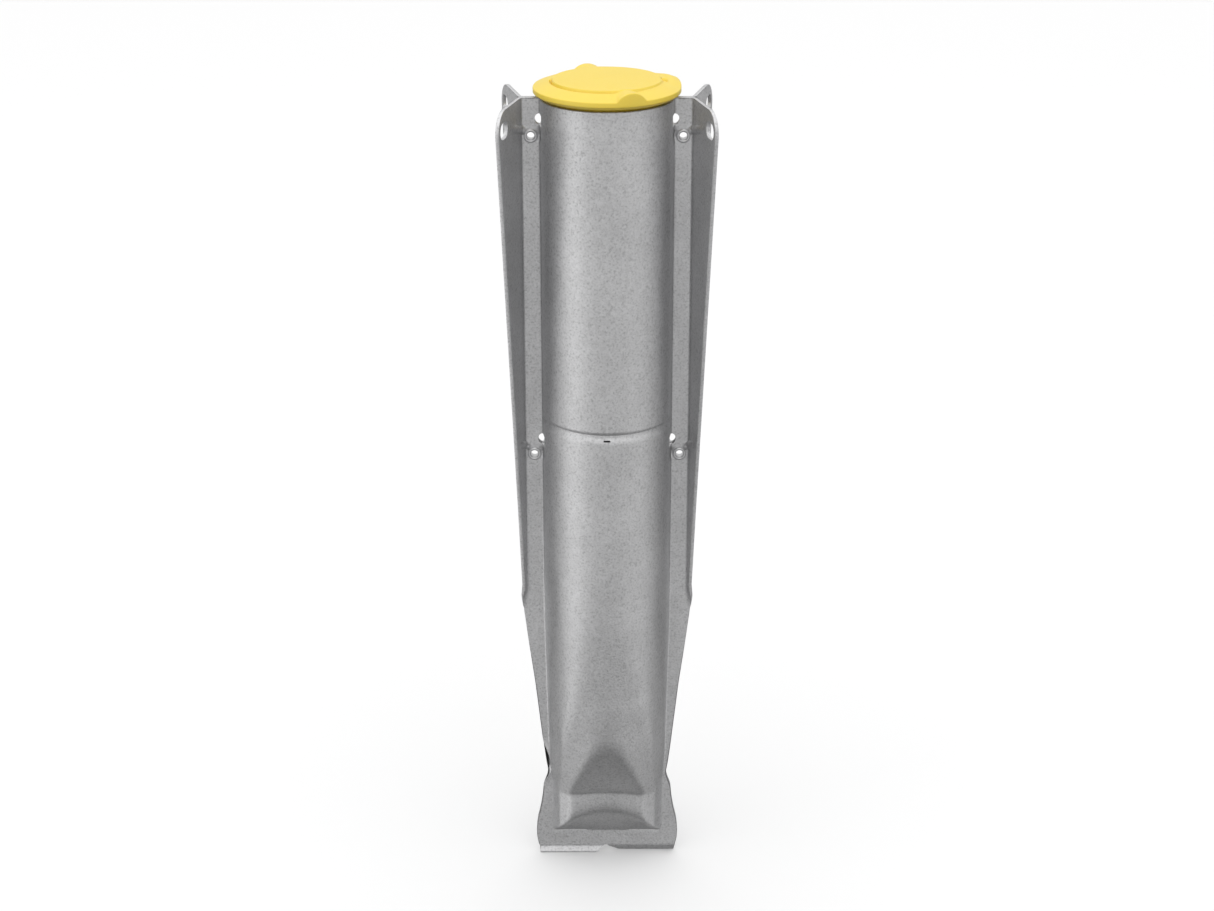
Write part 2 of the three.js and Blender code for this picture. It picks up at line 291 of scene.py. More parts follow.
def outer_sheet(distance, level):
    """Flange, bend and wing, at a distance along the flat sheet from where the bend starts."""
    bend = BEND_ANGLE * smooth(level, WING_FOOT, WING_FOOT + BEND_FADE)
    bend = np.broadcast_to(np.maximum(bend, LEAST_BEND), distance.shape)
    radius = BEND_LENGTH / bend
    turned = np.clip(distance, 0.0, BEND_LENGTH) / radius
    straight = np.maximum(distance - BEND_LENGTH, 0.0)
    x = BEND_START + np.minimum(distance, 0.0) + radius * np.sin(turned) + straight * np.cos(bend)
    depth = FLANGE_DEPTH + radius * (1.0 - np.cos(turned)) + straight * np.sin(bend)
    return x, depth


# Columns of the grid, from the tube's middle outwards: tube, corner, flange, bend and wing.
TUBE_STEPS = 46
CORNER_STEPS = 7
FLANGE_STEPS = 6
BEND_STEPS = 8
WING_STEPS = 22
OUTER_STEPS = FLANGE_STEPS + BEND_STEPS + WING_STEPS
COLUMN_SPREAD = 22.0

# The corner between tube and flange starts a little in front of the flange and runs out along it.
WALL_END = 2.6
WALL_TURN = math.acos(WALL_END / TUBE_RADIUS)
STEEPEST_RISE = 0.25
CORNER_LEG = 1.7
CORNER_MARGIN = 0.6

# Spacing of the rows.
FINE_ROW = 0.45
FOOT_ROW = 0.9
COARSE_ROW = 1.4
FOOT_ROWS_TOP = 65.5
COARSE_ROWS_FOOT = 66.0
TOP_RIB_FOOT = 328.0
MID_RIB_FOOT = 191.0
MID_RIB_TOP = 203.0
BEAD_MARGIN = 0.4
BEAD_GAP = 1.2


def outer_distances(corner_end, level):
    """Distances along the sheet of the outer columns, from the corner's end to the sheet's edge."""
    edge = np.where(level > WING_FOOT, BEND_START + BEND_LENGTH + wing_length(level), blade_width(level))
    span = edge - corner_end
    spread = smooth(level, WING_FOOT, WING_FOOT + COLUMN_SPREAD)
    even_start = corner_end + span * FLANGE_STEPS / OUTER_STEPS
    even_end = corner_end + span * (FLANGE_STEPS + BEND_STEPS) / OUTER_STEPS
    bend_start = lerp(even_start, BEND_START, spread)
    bend_end = lerp(even_end, BEND_START + BEND_LENGTH, spread)
    stretches = (
        (corner_end, bend_start, FLANGE_STEPS),
        (bend_start, bend_end, BEND_STEPS),
        (bend_end, edge, WING_STEPS),
    )
    parts = [lerp(start, end, np.arange(1, steps + 1) / steps) for start, end, steps in stretches]
    return np.concatenate(parts, axis=1) - BEND_START


def half_sheet(levels):
    """Places across and depths of the middle surface's right half, one row for each level."""
    level = levels[:, None]
    turn = np.linspace(0.0, WALL_TURN, TUBE_STEPS + 1)[None, :]
    x = tube_radius(level) * np.sin(turn)
    depth = FLANGE_DEPTH + tube_height(x, level)
    inward = bead_depth(turn, level)
    x = x - inward * np.sin(turn)
    depth = depth - inward * np.cos(turn)

    wall_x, wall_depth = x[:, -1:], depth[:, -1:]
    rise = np.maximum(wall_x - x[:, -2:-1], TINY) / np.maximum(depth[:, -2:-1] - wall_depth, TINY)
    corner_x = wall_x + np.minimum(rise, STEEPEST_RISE) * (wall_depth - FLANGE_DEPTH)
    edge = np.where(level > WING_FOOT, BEND_START, blade_width(level))
    leg = np.minimum(CORNER_LEG, edge - CORNER_MARGIN - corner_x)
    t = (np.arange(1, CORNER_STEPS + 1) / CORNER_STEPS)[None, :]
    corner = (1 - t) ** 2 * wall_x + 2 * t * (1 - t) * corner_x + t ** 2 * (corner_x + leg)
    corner_depth = (1 - t) ** 2 * wall_depth + (1 - (1 - t) ** 2) * FLANGE_DEPTH

    outer, outer_depth = outer_sheet(outer_distances(corner_x + leg, level), level)
    across = np.concatenate([x, corner, outer], axis=1)
    return across, np.concatenate([depth, corner_depth, outer_depth], axis=1)


def sheet_levels():
    """Heights of the rows: close together where the sheet turns sharply."""
    corner_foot = TOP - WING_CORNER
    corner = corner_foot + WING_CORNER * np.sin(np.linspace(0.0, math.pi / 2, 15))
    parts = [
        corner,
        np.arange(BEAD_TOP + COARSE_ROW, corner_foot - COARSE_ROW / 2, COARSE_ROW),
        np.arange(TOP_RIB_FOOT, corner_foot, FINE_ROW),
        np.arange(MID_RIB_FOOT, MID_RIB_TOP, FINE_ROW),
        np.linspace(BEAD_BOTTOM - BEAD_MARGIN, BEAD_TOP + BEAD_MARGIN, 17),
        np.arange(COARSE_ROWS_FOOT, BEAD_BOTTOM - BEAD_GAP, COARSE_ROW),
        np.arange(BLADE_TOP + FOOT_ROW, FOOT_ROWS_TOP, FOOT_ROW),
        np.linspace(BLADE_TOP, SHORT_EDGE, 9),
        np.linspace(0.0, TONGUE_BEND, 9),
    ]
    return np.unique(np.round(np.concatenate(parts), 4))[::-1]


# ---- Small pressed details, as shifts along the sheet's normal ----

def rib_and_dent(x, along, level):
    """Stiffening ribs across each bend, and dents in the tube's corner, beside every rivet."""
    shift = np.zeros_like(x)
    for row, (lift, reach) in RIBS.items():
        rivet_level = RIVET_LEVELS[row]
        line = rivet_level + lift + np.clip(along / reach, 0.0, 1.0) * RIB_CLIMB
        ends = smooth(along, *RIB_START) * smooth(along, reach, reach * RIB_FADE)
        shift += RIB_HEIGHT * bump(level, line, RIB_HALF_WIDTH) * ends
        dent = bump(level, rivet_level + DENT_RISE, DENT_HALF_HEIGHT) * bump(x, DENT_COLUMN, DENT_HALF_WIDTH)
        shift -= DENT_DEPTH * dent
    return shift


def waviness(x, level, seed):
    """A sum of slow waves in random directions, a few hundredths of a millimetre high."""
    rng = np.random.default_rng(seed)
    total = np.zeros_like(x)
    for _ in range(WAVE_COUNT):
        wave = rng.uniform(WAVE_SHORTEST, WAVE_LONGEST)
        turn = rng.uniform(0.0, math.pi)
        phase = rng.uniform(0.0, 2 * math.pi)
        travelled = x * math.cos(turn) + level * math.sin(turn)
        total += np.sin(travelled * 2 * math.pi / wave + phase) * wave / WAVE_LONGEST
    return total * WAVE_HEIGHT


def normals_of(grid):
    """Which way is outward at each point of a grid."""
    down = np.gradient(grid, axis=0)
    across = np.gradient(grid, axis=1)
    normal = np.cross(down, across)
    return normal / np.linalg.norm(normal, axis=2, keepdims=True)


def mirrored(half, sign=1):
    """A whole row for each right half, with the middle column once."""
    return np.concatenate([sign * half[:, :0:-1], half], axis=1)


def sheet_grid(seed):
    """Points of the front shell's middle surface."""
    levels = sheet_levels()
    x, depth = half_sheet(levels)
    level = np.repeat(levels[:, None], x.shape[1], axis=1)
    step = np.hypot(np.diff(x, axis=1), np.diff(depth, axis=1))
    travelled = np.concatenate([np.zeros((len(levels), 1)), np.cumsum(step, axis=1)], axis=1)
    corner_end = TUBE_STEPS + CORNER_STEPS
    to_bend = BEND_START - x[:, corner_end:corner_end + 1]
    along = mirrored(travelled - travelled[:, corner_end:corner_end + 1] - to_bend)
    x, depth, level = mirrored(x, -1), mirrored(depth), mirrored(level)

    lean = np.maximum(0.0, TONGUE_BEND - level) * math.tan(TONGUE_ANGLE)
    grid = np.stack([x, lean - depth, level], axis=2)
    wavy = smooth(level, *WAVY_LEVELS) * smooth(np.abs(x), *WAVY_COLUMNS)
    shift = rib_and_dent(np.abs(x), along, level) + waviness(x, level, seed) * wavy
    return grid + normals_of(grid) * shift[:, :, None]


def bow_left_edge(grid):
    """One flange edge is sprung inwards and a little off its neighbour above the waist."""
    x, level = grid[:, :, 0], grid[:, :, 2]
    shift = BOW_INWARD * bump(level, BOW_LEVEL, BOW_HALF_HEIGHT) * smooth(-x, *BOW_COLUMNS)
    return grid + np.stack([shift, -BOW_FORWARD * shift, 0.0 * shift], axis=2)


def border_ring(rows, columns):
    """Row and column of every point round a grid's border, once round."""
    ring = [(0, c) for c in range(columns)]
    ring += [(r, columns - 1) for r in range(1, rows)]
    ring += [(rows - 1, c) for c in range(columns - 2, -1, -1)]
    ring += [(r, 0) for r in range(rows - 2, 0, -1)]
    return np.array(ring).T


def unit(vectors):
    return vectors / np.linalg.norm(vectors, axis=1, keepdims=True)


def closed_sheet(grid):
    """Gives the middle surface its thickness, with rounded edges, as one closed mesh."""
    rows, columns = grid.shape[:2]
    outward = normals_of(grid)
    half = SHEET / 2
    front = grid + outward * half
    back = grid - outward * half

    ring_rows, ring_columns = border_ring(rows, columns)
    centre = grid[ring_rows, ring_columns]
    normal = outward[ring_rows, ring_columns]
    forward = unit(np.roll(centre, -1, axis=0) - centre)
    backward = unit(centre - np.roll(centre, 1, axis=0))
    outside = unit(np.cross(normal, forward + backward))
    middle = grid[rows // 2, columns // 2]
    if np.dot(outside[columns // 2], centre[columns // 2] - middle) < 0:
        outside = -outside

    cut = EDGE_ROUND * (1 - math.sqrt(0.5))
    profile = [(half - cut, -cut), (half - EDGE_ROUND, 0.0), (EDGE_ROUND - half, 0.0), (cut - half, -cut)]
    front[ring_rows, ring_columns] = centre + normal * half - outside * EDGE_ROUND
    back[ring_rows, ring_columns] = centre - normal * half - outside * EDGE_ROUND
    rings = [centre + normal * up + outside * out for up, out in profile]
    vertices = np.concatenate([front.reshape(-1, 3), back.reshape(-1, 3)] + rings)
    vertices[:, 2] = np.maximum(vertices[:, 2], 0.0)

    count = rows * columns
    index = np.arange(count).reshape(rows, columns)
    corners = (index[:-1, :-1], index[1:, :-1], index[1:, 1:], index[:-1, 1:])
    quads = np.stack(corners, axis=2).reshape(-1, 4)
    faces = [quads, quads[:, ::-1] + count]
    size = len(centre)
    loops = [index[ring_rows, ring_columns]]
    loops += [2 * count + k * size + np.arange(size) for k in range(len(rings))]
    loops.append(loops[0] + count)
    for upper, lower in zip(loops, loops[1:]):
        faces.append(np.stack([upper, np.roll(upper, -1), np.roll(lower, -1), lower], axis=1))
    return vertices, np.concatenate(faces)


# ---- Holes ----

CUT_REACH = 6.0
WING_CUT_REACH = 3.0
TONGUE_CUT_REACH = 20.0
TONGUE_CUT_END = 50.0


def prism(outline, low, high, place):
    """A closed prism of a flat outline; place turns (u, v, w) into a point."""
    count = len(outline)
    vertices = [place(u, v, w) for w in (low, high) for u, v in outline]
    faces = [tuple(range(count))[::-1], tuple(range(count, 2 * count))]
    for k in range(count):
        n = (k + 1) % count
        faces.append((k, n, count + n, count + k))
    return vertices, faces


def round_outline(radius, stretch=0.0, steps=40):
    """A circle, or with a stretch, a slot lying along u."""
    points = []
    for k in range(steps):
        angle = 2 * math.pi * k / steps
        u = radius * math.cos(angle) + math.copysign(stretch, math.cos(angle))
        points.append((u, radius * math.sin(angle)))
    return points


def box_outline(half_width, half_height):
    signs = ((-1, -1), (1, -1), (1, 1), (-1, 1))
    return [(u * half_width, v * half_height) for u, v in signs]


def through_hole(outline, x, level):
    """Cuts an outline straight through the sheet, from front to rear."""
    return prism(outline, -CUT_REACH, CUT_REACH, lambda u, v, w: (x + u, w, level + v))


def wing_slot(side):
    """A slot square to one wing, near its top outer corner."""
    sine, cosine = math.sin(BEND_ANGLE), math.cos(BEND_ANGLE)
    bend_end_x = BEND_START + BEND_RADIUS * sine
    bend_end_y = -FLANGE_DEPTH - BEND_RADIUS * (1 - cosine)

    def place(u, v, w):
        x = bend_end_x + cosine * (WING_SLOT_REACH + u) + sine * w
        y = bend_end_y - sine * (WING_SLOT_REACH + u) + cosine * w
        return (side * x, y, WING_SLOT_LEVEL + v)

    slot = round_outline(WING_SLOT_RADIUS, WING_SLOT_STRETCH)
    return prism(slot, -WING_CUT_REACH, WING_CUT_REACH, place)


def shell_cutters():
    """Everything punched out of the front shell."""
    rivet_hole = round_outline(RIVET_HOLE)
    corner_hole = [(u, CORNER_HOLE_STRETCH * v) for u, v in round_outline(CORNER_HOLE)]
    cutters = []
    for side in (-1, 1):
        for level in RIVET_LEVELS.values():
            cutters.append(through_hole(rivet_hole, side * RIVET_COLUMN, level))
            cutters.append(through_hole(corner_hole, side * CORNER_HOLE_COLUMN, level + CORNER_HOLE_RISE))
        cutters.append(wing_slot(side))
    drain = box_outline(DRAIN_HALF_WIDTH, DRAIN_HALF_HEIGHT)
    cutters.append(prism(drain, *DRAIN_DEPTHS, lambda u, v, w: (u, w, DRAIN_LEVEL + v)))
    missing_tongue = [
        (-TONGUE_CUT_END, SHORT_EDGE), (-TONGUE_CUT_END, -SHORT_EDGE), (2 * TONGUE_NOTCH, -SHORT_EDGE),
        (0.0, SHORT_EDGE),
    ]
    cutters.append(prism(missing_tongue, -TONGUE_CUT_REACH, TONGUE_CUT_REACH, lambda u, v, w: (u, w, v)))
    return cutters


def outward_mesh(name, parts):
    """Joins closed parts into one object with every face turned outward."""
    vertices, faces = [], []
    for part_vertices, part_faces in parts:
        base = len(vertices)
        vertices += [tuple(v) for v in part_vertices]
        faces += [tuple(base + i for i in face) for face in part_faces]
    piece = mesh_object(name, vertices, faces)
    made = bmesh.new()
    made.from_mesh(piece.data)
    bmesh.ops.recalc_face_normals(made, faces=made.faces)
    made.to_mesh(piece.data)
    made.free()
    return piece


def cut_holes(piece, parts):
    cutter = outward_mesh("cutter", parts)
    cut = piece.modifiers.new("holes", "BOOLEAN")
    cut.operation = "DIFFERENCE"
    cut.solver = "MANIFOLD"
    cut.object = cutter
    apply_modifiers(piece)
    bpy.data.objects.remove(cutter)


# The sharpest turn, in degrees, that is still shaded as one smooth surface.
SHEET_CREASE = 40
FRONT_SEED = 11
REAR_SEED = 12


def make_shell(name, grid, finish):
    """One half shell with its holes, in the front shell's place."""
    piece = outward_mesh(name, [closed_sheet(grid)])
    cut_holes(piece, shell_cutters())
    piece.data.materials.clear()
    piece.data.materials.append(finish)
    return piece


def make_front_shell(name, finish):
    piece = make_shell(name, bow_left_edge(sheet_grid(FRONT_SEED)), finish)
    shade(piece, SHEET_CREASE)
    return piece


def make_rear_shell(name, finish):
    """The same pressing, turned half a turn about the tube's axis."""
    piece = make_shell(name, sheet_grid(REAR_SEED), finish)
    piece.data.transform(Matrix.Rotation(math.pi, 4, "Z"))
    shade(piece, SHEET_CREASE)
    return piece


# ---- Rivets ----

RIVET_CREASE = 50
RIVET_SEGMENTS = 40


def spun(profile, segments):
    """Vertices and quads of a closed profile of (radius, height) pairs turned about the vertical axis."""
    rows = len(profile)
    turn = np.arange(segments) * 2 * math.pi / segments
    radius = np.array([p[0] for p in profile])[:, None]
    height = np.array([p[1] for p in profile])[:, None] + 0 * turn[None, :]
    vertices = np.stack([radius * np.sin(turn), -radius * np.cos(turn), height], axis=2).reshape(-1, 3)
    faces = []
    for r in range(rows):
        n = (r + 1) % rows
        for c in range(segments):
            d = (c + 1) % segments
            faces.append((r * segments + c, r * segments + d, n * segments + d, n * segments + c))
    return vertices, faces


def make_rivet(name, x, level, finish):
    """A hollow eyelet with a rolled head on each side of the two flanges."""
    top = [(RIVET_BORE, 0.0)]
    for angle in np.linspace(0.0, math.pi, 13):
        radius = RIVET_HEAD_MIDDLE - RIVET_HEAD_HALF_WIDTH * math.cos(angle)
        top.append((max(radius, RIVET_BORE), RIVET_SEAT + RIVET_HEAD_HEIGHT * math.sin(angle)))
    top += [(RIVET_BARREL, RIVET_SEAT), (RIVET_BARREL, 0.0)]
    profile = top + [(radius, -height) for radius, height in top[::-1][1:-1]]
    vertices, faces = spun(profile, RIVET_SEGMENTS)
    placed = np.stack([vertices[:, 0] + x, -vertices[:, 2], vertices[:, 1] + level], axis=1)
    piece = outward_mesh(name, [(placed, faces)])
    shade(piece, RIVET_CREASE)
    piece.data.materials.append(finish)
    return piece


# ---- The cap. Its heights are above the shells' top edge, and its turns start at the front. ----

CAP_CREASE = 55
CAP_SEGMENTS = 480
CAP_RINGS_EACH = 14
CAP_INNERMOST = 1.0
DISC_RINGS_END = 20.5
GROOVE_RINGS = (20.9, 23.4)
CONE_RINGS_START = 23.9
RIM_RINGS = (0.35, 0.7)
CAP_RIM = 29.5
CAP_RIM_BOTTOM = 2.3
CAP_RIM_TOP = 4.2
CAP_EDGE_ROUND = 0.45
CAP_LOWER_ROUND = 0.3
CAP_CONE_TOP = 6.85
CAP_CONE_CURVE = 0.9
CAP_DISC = 21.9
CAP_DISC_TOP = 7.35
CAP_DISC_CROWN = 0.3
CAP_STEP = 0.25
CAP_PLUG = 24.6
CAP_PLUG_FOOT = -13.6
CAP_UNDERSIDE = 5.6

# Finger grips: turn, half width of the arch, and height of its foot.
GRIPS = [(math.radians(19.5), 6.4, 1.85), (math.radians(196.8), 7.3, 0.5)]
GRIP_ARCH = 0.93
GRIP_SLOPE = 0.06
GRIP_REACH = 9.0
GRIP_CLEARS_GROOVE = 0.85
GRIP_SOFTNESS = 0.7
NO_GRIP = -20.0

# Groove round the disc: it fades from the front to the right and ends in a small hook at the left.
GROOVE_DEPTH = 0.95
GROOVE_RADIUS = CAP_DISC + 0.4
GROOVE_HALF_WIDTH = 0.75
GROOVE_FAINT = 0.2
GROOVE_RIGHT = (0.8, 0.25)
GROOVE_LEFT = (-1.75, -1.6)
HOOK_TURN = -1.5
HOOK_REACH = 0.2
HOOK_DEPTH = 0.5

# A low swelling on the rim at the right rear, with a pocket beside it.
SWELL_TURN = math.radians(108)
SWELL_REACH = math.radians(30)
SWELL_HEIGHT = 1.5
SWELL_RADII = (22.5, 27.0)
POCKET_TURN = math.radians(-14)
POCKET_REACH = math.radians(8)
POCKET_RADIUS = CAP_DISC + 0.8
POCKET_HALF_WIDTH = 1.8
POCKET_DEPTH = 2.6


def signed_turn(turn):
    """The same turn between minus and plus half a turn."""
    return np.angle(np.exp(1j * turn))


def grip_arches(radius, turn):
    """Height of the finger grips' arches, and how near each point is to one."""
    x, y = radius * np.sin(turn), radius * np.cos(turn)
    near = np.zeros_like(turn + radius)
    arches = np.full_like(near, NO_GRIP)
    for centre, half_width, foot in GRIPS:
        out = x * math.sin(centre) + y * math.cos(centre)
        side = x * math.cos(centre) - y * math.sin(centre)
        round_top = np.sqrt(np.maximum(half_width ** 2 - side ** 2, 0.0))
        arch = foot + GRIP_ARCH * round_top - GRIP_SLOPE * (CAP_RIM - out)
        arches = np.where(out > 0, np.maximum(arches, arch), arches)
        near = np.maximum(near, bump(side, 0.0, GRIP_REACH) * (out > 0))
    return arches, near


def cap_height(radius, turn):
    """Height of the cap's upper face."""
    up_cone = np.clip((CAP_RIM - radius) / (CAP_RIM - CAP_DISC), 0.0, 1.0)
    cone = lerp(CAP_RIM_TOP, CAP_CONE_TOP, up_cone ** CAP_CONE_CURVE)
    disc = CAP_DISC_TOP + CAP_DISC_CROWN * (1.0 - (radius / CAP_DISC) ** 2)
    base = lerp(cone, disc, smooth(radius, CAP_DISC + CAP_STEP, CAP_DISC - CAP_STEP))

    arches, near = grip_arches(radius, turn)
    signed = signed_turn(turn)
    shown = (1.0 - GROOVE_FAINT) * smooth(signed, *GROOVE_RIGHT) * smooth(signed, *GROOVE_LEFT)
    shown = GROOVE_FAINT + shown + HOOK_DEPTH * bump(signed, HOOK_TURN, HOOK_REACH)
    groove = bump(radius, GROOVE_RADIUS, GROOVE_HALF_WIDTH) * (1.0 - GRIP_CLEARS_GROOVE * near)
    base = base - GROOVE_DEPTH * groove * shown

    away = signed_turn(turn - SWELL_TURN)
    base = base + SWELL_HEIGHT * bump(away, 0.0, SWELL_REACH) * smooth(radius, *SWELL_RADII)
    pocket = bump(away, POCKET_TURN, POCKET_REACH) * bump(radius, POCKET_RADIUS, POCKET_HALF_WIDTH)
    return soft_max(base - POCKET_DEPTH * pocket, arches, GRIP_SOFTNESS)


def cap_upper_rings(turn):
    """Rings of the cap's upper face, from near its middle out over the rim and down its edge."""
    inner_rim = CAP_RIM - CAP_EDGE_ROUND
    stretches = ((CAP_INNERMOST, DISC_RINGS_END), GROOVE_RINGS, (CONE_RINGS_START, inner_rim))
    radii = [np.linspace(start, end, CAP_RINGS_EACH) for start, end in stretches]
    rings = [(radius, cap_height(radius, turn)) for radius in np.concatenate(radii)]
    rim_top = cap_height(inner_rim, turn)
    for angle in (math.pi / 6, math.pi / 3, math.pi / 2):
        radius = inner_rim + CAP_EDGE_ROUND * math.sin(angle)
        rings.append((radius, rim_top - CAP_EDGE_ROUND * (1 - math.cos(angle))))
    for share_down in RIM_RINGS:
        rings.append((CAP_RIM, lerp(rim_top - CAP_EDGE_ROUND, CAP_RIM_BOTTOM + CAP_LOWER_ROUND, share_down)))
    return rings


def cap_under_profile():
    """Radii and heights under the rim, down the plug and back up inside it."""
    return [
        (CAP_RIM, CAP_RIM_BOTTOM + CAP_LOWER_ROUND), (CAP_RIM - 0.1, CAP_RIM_BOTTOM + 0.1),
        (CAP_RIM - 0.35, CAP_RIM_BOTTOM), (28.1, 1.5), (27.3, 1.0), (26.6, 0.9), (CAP_PLUG + 0.3, 0.9),
        (CAP_PLUG, 0.6), (CAP_PLUG, -12.6), (CAP_PLUG - 0.25, -13.3), (CAP_PLUG - 0.7, CAP_PLUG_FOOT),
        (CAP_PLUG - 1.3, CAP_PLUG_FOOT), (CAP_PLUG - 1.6, -13.3), (CAP_PLUG - 1.7, -12.8),
        (CAP_PLUG - 1.8, 1.4), (CAP_PLUG - 2.4, 2.6), (20.6, 4.9), (19.4, 5.3),
        (CAP_INNERMOST, CAP_UNDERSIDE),
    ]


def make_cap(name, finish):
    turn = np.arange(CAP_SEGMENTS) * 2 * math.pi / CAP_SEGMENTS
    rings = cap_upper_rings(turn) + cap_under_profile()
    level = 0 * turn
    vertices = [
        np.stack([radius * np.sin(turn), -radius * np.cos(turn), height + level + TOP], axis=1)
        for radius, height in rings
    ]
    middles = [[0.0, 0.0, TOP + CAP_DISC_TOP + CAP_DISC_CROWN], [0.0, 0.0, TOP + CAP_UNDERSIDE]]
    top_middle = len(rings) * CAP_SEGMENTS
    under_middle = top_middle + 1
    last = top_middle - CAP_SEGMENTS
    faces = []
    for c in range(CAP_SEGMENTS):
        d = (c + 1) % CAP_SEGMENTS
        for a in range(0, last, CAP_SEGMENTS):
            faces.append((a + c, a + d, a + CAP_SEGMENTS + d, a + CAP_SEGMENTS + c))
        faces.append((top_middle, d, c))
        faces.append((under_middle, last + c, last + d))
    piece = outward_mesh(name, [(np.concatenate(vertices + [middles]), faces)])
    shade(piece, CAP_CREASE)
    piece.data.materials.append(finish)
    return piece


# ---- Materials ----

class Graph:
    """Short ways to add and link shader nodes."""

    def __init__(self, tree):
        self.tree = tree
        tree.nodes.clear()

    def add(self, kind, inputs=None, **settings):
        node = self.tree.nodes.new(kind)
        for key, value in settings.items():
            setattr(node, key, value)
        for key, value in (inputs or {}).items():
            if isinstance(value, bpy.types.NodeSocket):
                self.tree.links.new(value, node.inputs[key])
            else:
                node.inputs[key].default_value = value
        return node

    def math(self, operation, a, b=0.0):
        return self.add("ShaderNodeMath", {0: a, 1: b}, operation=operation).outputs[0]

    def noise(self, place, scale, detail, rough=0.55):
        inputs = {"Vector": place, "Scale": scale, "Detail": detail, "Roughness": rough}
        return self.add("ShaderNodeTexNoise", inputs).outputs["Fac"]

    def span(self, value, low, high, to_low, to_high):
        inputs = {"Value": value, "From Min": low, "From Max": high, "To Min": to_low, "To Max": to_high}
        return self.add("ShaderNodeMapRange", inputs).outputs["Result"]

    def mix(self, factor, a, b, blend="MIX"):
        node = self.add("ShaderNodeMix", data_type="RGBA", blend_type=blend)
        for key, value in ((0, factor), (6, a), (7, b)):
            if isinstance(value, bpy.types.NodeSocket):
                self.tree.links.new(value, node.inputs[key])
            else:
                node.inputs[key].default_value = value
        return node.outputs[2]

    def finish(self, surface):
        output = self.add("ShaderNodeOutputMaterial")
        self.tree.links.new(surface.outputs[0], output.inputs["Surface"])


def grey(bright):
    return (bright, bright, bright, 1.0)


def new_material(name):
    material = bpy.data.materials.new(name)
    material.use_nodes = True
    return material, Graph(material.node_tree)


# Where most of a noise texture's values lie.
NOISE_RANGE = (0.3, 0.7)

# Steel. Scales are in grains a metre, and tones are added to the zinc's own brightness.
CLOUD_SCALE = 38.0
CLOUD_TONE = 0.035
SPANGLE_SCALE = 420.0
SPANGLE_TONE = 0.02
GRAIN_SCALE = 1100.0
GRAIN_TONE = 0.08
FINE_SCALE = 2600.0
PIT_RANGE = (0.34, 0.45)
PIT_TONE = 0.07
PIT_ROUGHNESS = 0.12
WORN_RANGE = (0.52, 0.62)
WORN_TONE = 0.12
ZINC_METALLIC = 0.85
ZINC_BLUE = 1.01
ROUGHNESS_SPREAD = (-0.05, 0.07)
GRAIN_WEIGHT = 0.7
FINE_WEIGHT = 0.3
STEEL_BUMP = 0.7
STEEL_BUMP_HEIGHT = 0.00025

# Where shade is painted onto the rear sheet, in the gap beside the sprung flange edge, in metres.
CREVICE_SHADE_CENTRE = (-0.0272, 0.00015, 0.0480)
CREVICE_SHADE_REACH = (0.0036, 0.0009, 0.0125)
CREVICE_SHADE_EDGE = (0.75, 1.1)
CREVICE_SHADE_TONE = 0.04


def crevice_painted_shade(g, place):
    """Painted shade: dark inside the gap's egg-shaped reach, and one outside it."""
    away = g.add("ShaderNodeVectorMath", {0: place, 1: CREVICE_SHADE_CENTRE}, operation="SUBTRACT").outputs[0]
    away = g.add("ShaderNodeVectorMath", {0: away, 1: CREVICE_SHADE_REACH}, operation="DIVIDE").outputs[0]
    distance = g.add("ShaderNodeVectorMath", {0: away}, operation="LENGTH").outputs["Value"]
    return g.span(distance, *CREVICE_SHADE_EDGE, CREVICE_SHADE_TONE, 1.0)


def galvanised(name, bright, rough, grain, shaded_crevice=False):
    """Zinc-coated steel: cloudy spangle, fine leathery grain with small dark pits, brighter worn edges. It
    can also carry painted shade in the gap beside the sprung flange edge.
    """
    material, g = new_material(name)
    place = g.add("ShaderNodeTexCoord").outputs["Object"]
    clouds = g.noise(place, CLOUD_SCALE, 3.0)
    grains = g.noise(place, GRAIN_SCALE, 4.0, 0.6)
    fine = g.noise(place, FINE_SCALE, 2.0)
    cells = g.add("ShaderNodeTexVoronoi", {"Vector": place, "Scale": SPANGLE_SCALE})
    spangle = g.add("ShaderNodeSeparateColor", {"Color": cells.outputs["Color"]}).outputs[0]
    pits = g.span(grains, *PIT_RANGE, 1.0, 0.0)
    cloud_tone = g.span(clouds, *NOISE_RANGE, -CLOUD_TONE, CLOUD_TONE)
    spangle_tone = g.span(spangle, 0.0, 1.0, -SPANGLE_TONE, SPANGLE_TONE)
    tone = g.math("ADD", cloud_tone, spangle_tone)
    tone = g.math("ADD", tone, g.span(grains, *NOISE_RANGE, -GRAIN_TONE * grain, GRAIN_TONE * grain))
    tone = g.math("SUBTRACT", tone, g.math("MULTIPLY", pits, PIT_TONE * grain))
    pointiness = g.add("ShaderNodeNewGeometry").outputs["Pointiness"]
    worn = g.span(pointiness, *WORN_RANGE, 0.0, WORN_TONE)
    value = g.math("ADD", g.math("ADD", tone, bright), worn)
    # Painted shade in the gap beside the sprung flange edge, where the rear sheet shows.
    if shaded_crevice:
        value = g.math("MULTIPLY", value, crevice_painted_shade(g, place))
    colour = g.add("ShaderNodeCombineColor", {0: value, 1: value, 2: g.math("MULTIPLY", value, ZINC_BLUE)})
    roughness = g.span(grains, *NOISE_RANGE, *(rough + spread for spread in ROUGHNESS_SPREAD))
    roughness = g.math("ADD", roughness, g.math("MULTIPLY", pits, PIT_ROUGHNESS))
    height = g.math("ADD", g.math("MULTIPLY", grains, GRAIN_WEIGHT), g.math("MULTIPLY", fine, FINE_WEIGHT))
    bumps = g.add("ShaderNodeBump", {
        "Strength": STEEL_BUMP * grain, "Distance": STEEL_BUMP_HEIGHT, "Height": height,
    })
    surface = g.add("ShaderNodeBsdfPrincipled", {
        "Base Color": colour.outputs[0], "Metallic": ZINC_METALLIC, "Roughness": roughness,
        "Normal": bumps.outputs[0],
    })
    g.finish(surface)
    return material


